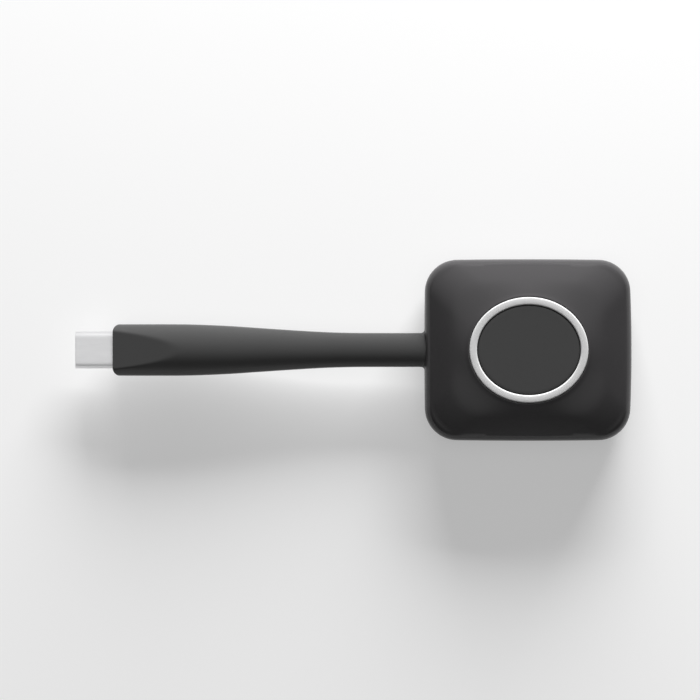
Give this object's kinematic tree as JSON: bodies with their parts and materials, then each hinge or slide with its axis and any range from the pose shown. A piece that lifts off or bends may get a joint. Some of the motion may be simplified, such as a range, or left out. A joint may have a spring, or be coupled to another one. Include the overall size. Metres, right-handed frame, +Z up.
{
  "type": "wireless presentation dongle",
  "caption": "Wireless presentation dongle: domed square body with a lit ring around a wide push button, and a flexible moulded neck ending in a flat reversible plug.",
  "frame": {"origin": "middle of the foot pad's lower face, on the table", "axes": "+Z up out of the button, the neck and its plug point to -X, +Y across the body"},
  "size_m": [0.1243, 0.0406, 0.013],
  "materials": {
    "body_plastic": "matte charcoal, fine texture",
    "button_plastic": "matte charcoal, smooth",
    "ring_clear": "translucent white light guide",
    "white_plastic": "white moulded",
    "foot_rubber": "soft matte",
    "neck_rubber": "matte soft-touch moulding",
    "cable_plastic": "smooth black jacket",
    "wire_plastic": "coloured insulation",
    "braid_metal": "woven tinned copper",
    "bright_steel": "bright drawn steel",
    "plated_steel": "tin-plated sheet",
    "screw_steel": "black zinc",
    "gold_contacts": "gold plated",
    "black_insulator": "black moulded",
    "header_plastic": "ivory moulded",
    "circuit_board": "green solder mask",
    "chip_plastic": "black epoxy",
    "ceramic": "fired ceramic",
    "lamp_clear": "clear epoxy",
    "thermal_silicone": "soft grey gap filler"
  },
  "bodies": {
    "housing": {"top_cover": "body_plastic", "bottom_cover": "body_plastic", "foot_pad": "foot_rubber", "light_ring": "ring_clear", "housing_screws": "screw_steel", "ring_reflector": "white_plastic", "ring_lamps": "lamp_clear", "button_board": "circuit_board", "button_board_screws": "screw_steel", "switch_base": "black_insulator", "switch_frame": "plated_steel", "switch_dome": "plated_steel", "main_board": "circuit_board", "main_board_screws": "screw_steel", "processor": "chip_plastic", "memory_chip": "chip_plastic", "shield_can": "plated_steel", "thermal_pad": "thermal_silicone", "radio_board": "circuit_board", "radio_can": "plated_steel", "flash_chip": "chip_plastic", "power_chip": "chip_plastic", "inductors": "chip_plastic", "crystal": "plated_steel", "antennas": "ceramic", "capacitors": "ceramic", "link_header": "black_insulator", "link_socket": "black_insulator", "link_pins": "gold_contacts", "cable_header": "header_plastic", "neck_anchor": "black_insulator", "braid_ferrule": "plated_steel", "neck_sleeve": "neck_rubber", "cable_jacket": "cable_plastic", "cable_braid": "braid_metal", "cable_wires": "wire_plastic"},
    "button": {"button_cap": "button_plastic", "switch_plunger": "black_insulator"},
    "plug": {"plug_shell": "bright_steel", "plug_insulator": "black_insulator", "plug_contacts": "gold_contacts", "plug_latches": "plated_steel", "plug_mid_plate": "plated_steel", "paddle_card": "circuit_board", "wire_comb": "white_plastic", "plug_can": "plated_steel", "inner_mould": "black_insulator"}
  },
  "joints": [
    {"name": "button_press", "type": "slide", "parent": "housing", "child": "button", "axis": [0, 0, -1], "range_m": [0, 0.0003], "stiffness_N_per_m": 1500, "deforming": ["switch_dome"]},
    {"name": "neck_flex", "type": "hinge", "parent": "housing", "child": "plug", "pos_m": [-0.0483, 0, 0.0057], "axis": [0, 1, 0], "range_deg": [-30, 30], "stiffness_Nm_per_rad": 0.15, "deforming": ["neck_sleeve", "cable_jacket", "cable_braid", "cable_wires"]}
  ]
}
